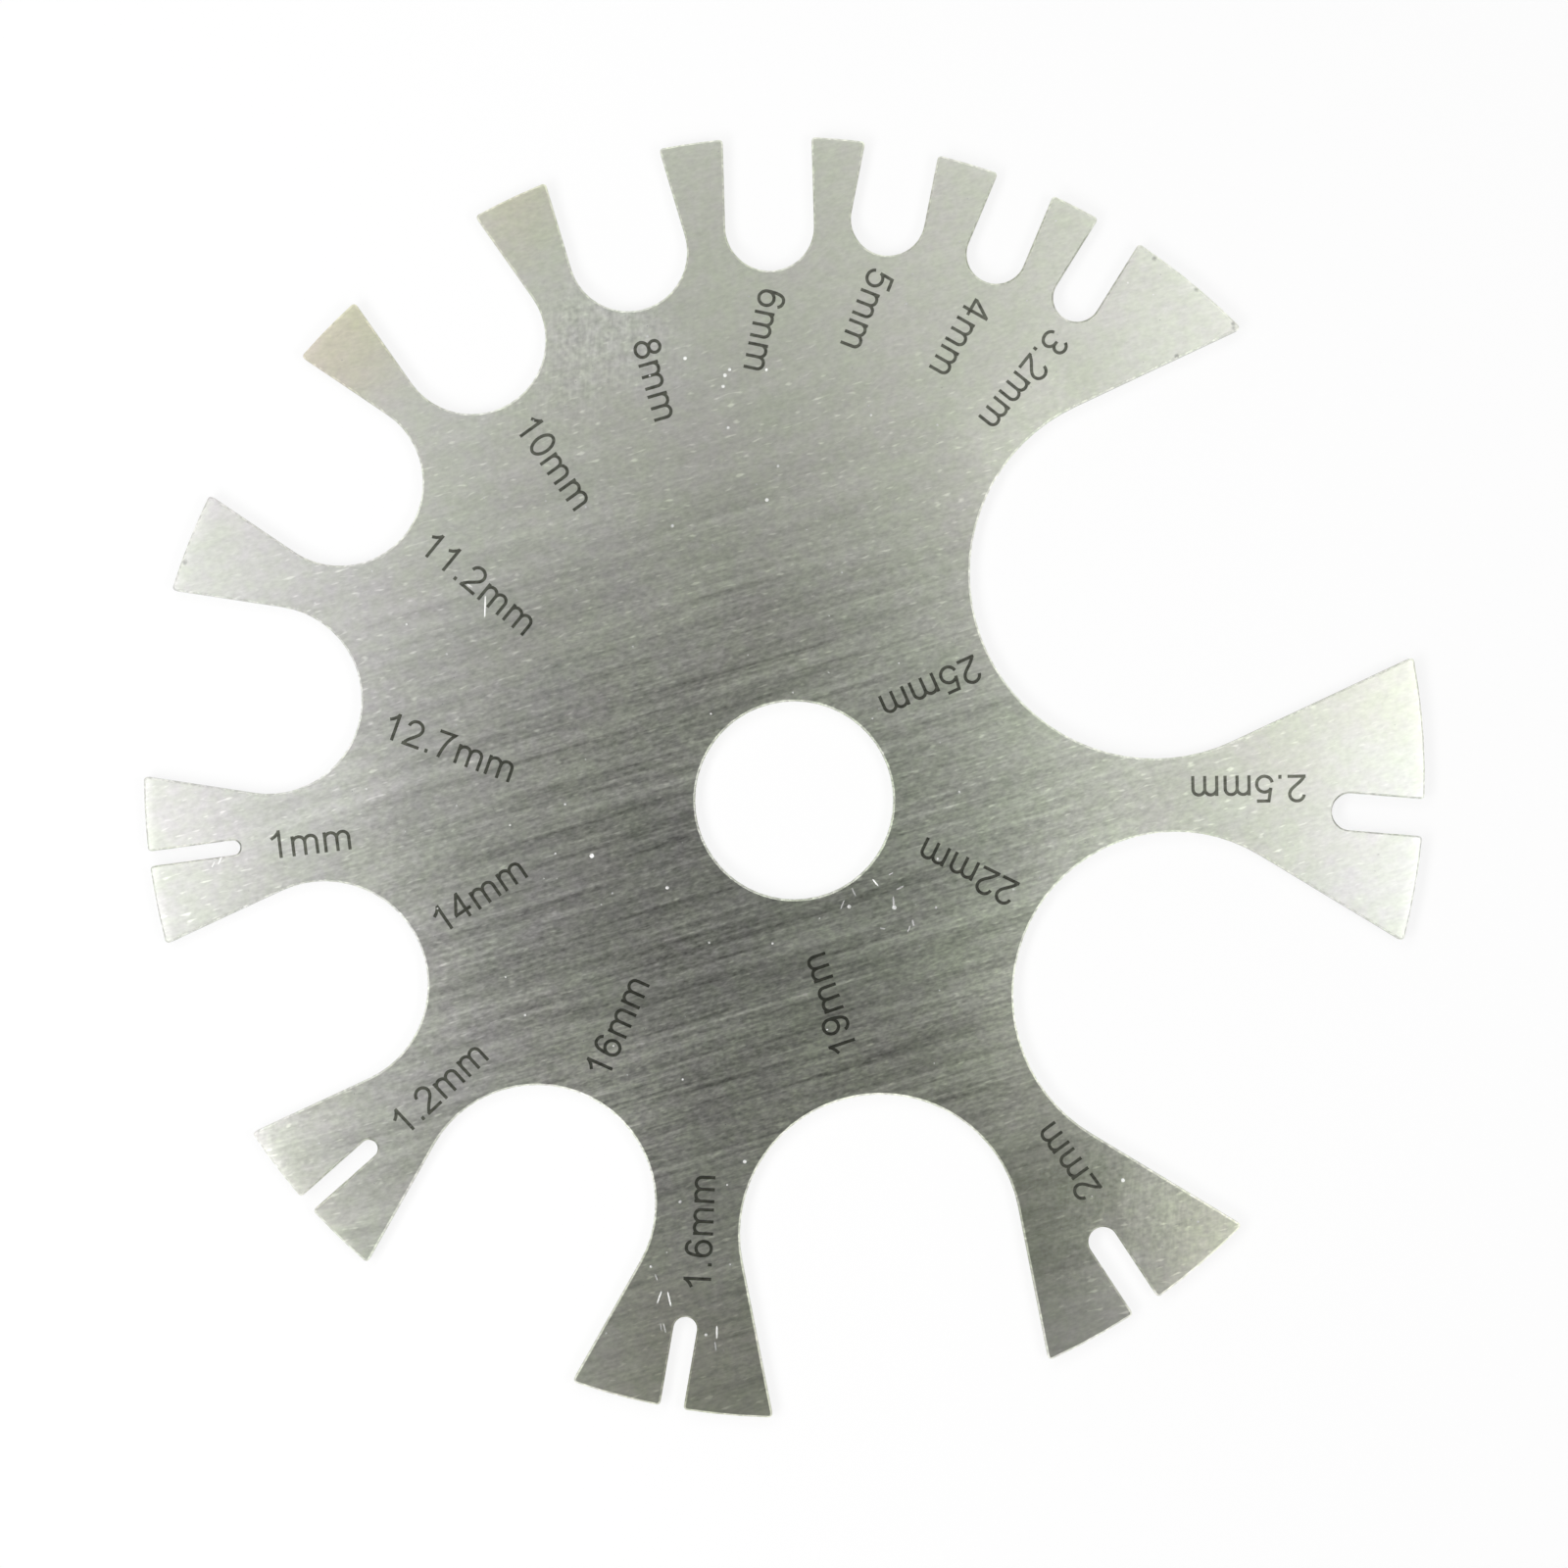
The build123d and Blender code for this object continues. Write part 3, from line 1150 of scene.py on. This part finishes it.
class GAUGE_OT_mark_sizes(Operator):
    """Mark the size of each notch on the face, reading from the notch inwards."""

    bl_idname = "gauge.mark_sizes"
    bl_label = "Mark the sizes"

    def execute(self, context):
        marks = context.scene.gauge_marks
        order = sorted(CHARACTERS)
        box_of_type = bpy.data.collections.new("type")
        context.scene.collection.children.link(box_of_type)
        for index, character in enumerate(order):
            mesh = character_mesh(character, marks.stroke_share)
            box_of_type.objects.link(bpy.data.objects.new(f"type_{index:02d}", mesh))
        points = character_points(marks.digit_height, order)
        words = plain_result(new_object("size_marks", points), lettering_tree(), {
            "Characters": box_of_type, "Digit height": marks.digit_height,
            "Thickness": marks.thickness,
            "Finish": mark_material(marks, context.scene.gauge_steel)})
        for piece_of_type in list(box_of_type.objects):
            bpy.data.objects.remove(piece_of_type)
        bpy.data.collections.remove(box_of_type)
        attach(words, BODY)
        return {"FINISHED"}


class GAUGE_OT_scatter_specks(Operator):
    """Put the bright specks on the marked face."""

    bl_idname = "gauge.scatter_specks"
    bl_label = "Scatter the specks"

    def execute(self, context):
        bright = context.scene.gauge_bright
        points = point_mesh(
            "speck_points", [(speck.x * MM, speck.y * MM, FACE_HEIGHT) for speck in NAMED_SPECKS],
            radius_of_speck=[speck.radius * MM for speck in NAMED_SPECKS],
            strength=[speck.strength for speck in NAMED_SPECKS])
        face = marked_face()
        specks = plain_result(new_object("specks", points), specks_tree(), {
            "Face": face, "Density": bright.specks_per_cm2 / SQUARE_CM,
            "Least radius": bright.least_speck, "Greatest radius": bright.greatest_speck,
            "Height": bright.speck_height, "Seed": bright.seed,
            "Finish": bright_material(bright)})
        bpy.data.objects.remove(face)
        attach(specks, BODY)
        return {"FINISHED"}


class GAUGE_OT_draw_scratches(Operator):
    """Draw the short bright scratches on the marked face."""

    bl_idname = "gauge.draw_scratches"
    bl_label = "Draw the scratches"

    def execute(self, context):
        bright = context.scene.gauge_bright
        spots = []
        radii = []
        strengths = []
        for scratch in SCRATCHES:
            radius = scratch.radius * MM
            for x, y in (scratch.start, scratch.end):
                spots.append((x * MM, y * MM, FACE_HEIGHT + bright.speck_height - radius))
                radii.append(radius)
                strengths.append(scratch.strength)
        edges = [(index, index + 1) for index in range(0, len(spots), 2)]
        paths = point_mesh("scratch_paths", spots, edges, radius_of_line=radii, strength=strengths)
        finish = bpy.data.materials.get("pale_specks") or bright_material(bright)
        scratches = plain_result(new_object("scratches", paths), scratches_tree(), {
            "Points": SCRATCH_POINTS, "Height": bright.speck_height, "Finish": finish})
        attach(scratches, BODY)
        return {"FINISHED"}


class GAUGE_OT_set_studio(Operator):
    """Set out the floor, the lights and the camera."""

    bl_idname = "gauge.set_studio"
    bl_label = "Set the studio"

    def execute(self, context):
        studio = context.scene.gauge_studio
        lay_floor(studio)
        hang_lamps()
        paint_world(context.scene, studio)
        place_camera(context.scene, studio)
        return {"FINISHED"}


# The panel's sections: each group of settings, and the steps that read it
SECTIONS = {
    "gauge_steel": (SteelFinish, ["gauge.finish_plate"]),
    "gauge_marks": (SizeMarks, ["gauge.mark_sizes"]),
    "gauge_bright": (BrightMarks, ["gauge.scatter_specks", "gauge.draw_scratches"]),
    "gauge_studio": (StudioSettings, ["gauge.set_studio"]),
}


class GAUGE_PT_sidebar(Panel):
    """Settings and steps of the piercing gauge."""

    bl_idname = "GAUGE_PT_sidebar"
    bl_label = "Piercing gauge"
    bl_space_type = "VIEW_3D"
    bl_region_type = "UI"
    bl_category = "Gauge"

    def draw(self, context):
        for section, (kind, steps) in SECTIONS.items():
            box = self.layout.box()
            for name in kind.__annotations__:
                box.prop(getattr(context.scene, section), name)
            for step in steps:
                box.operator(step)


CLASSES = (
    SteelFinish, SizeMarks, BrightMarks, StudioSettings,
    GAUGE_OT_finish_plate, GAUGE_OT_mark_sizes, GAUGE_OT_scatter_specks,
    GAUGE_OT_draw_scratches, GAUGE_OT_set_studio,
    GAUGE_PT_sidebar,
)


def register():
    """Makes the settings, the steps and the panel known to Blender."""
    for kind in CLASSES:
        bpy.utils.register_class(kind)
    for section, (kind, _) in SECTIONS.items():
        setattr(bpy.types.Scene, section, PointerProperty(type=kind))


def unregister():
    """Takes them away again."""
    for section in SECTIONS:
        delattr(bpy.types.Scene, section)
    for kind in reversed(CLASSES):
        bpy.utils.unregister_class(kind)


def main():
    """Builds everything in order."""
    register()
    bpy.ops.gauge.finish_plate()
    bpy.ops.gauge.mark_sizes()
    bpy.ops.gauge.scatter_specks()
    bpy.ops.gauge.draw_scratches()
    bpy.ops.gauge.set_studio()


if __name__ == "__main__":
    main()
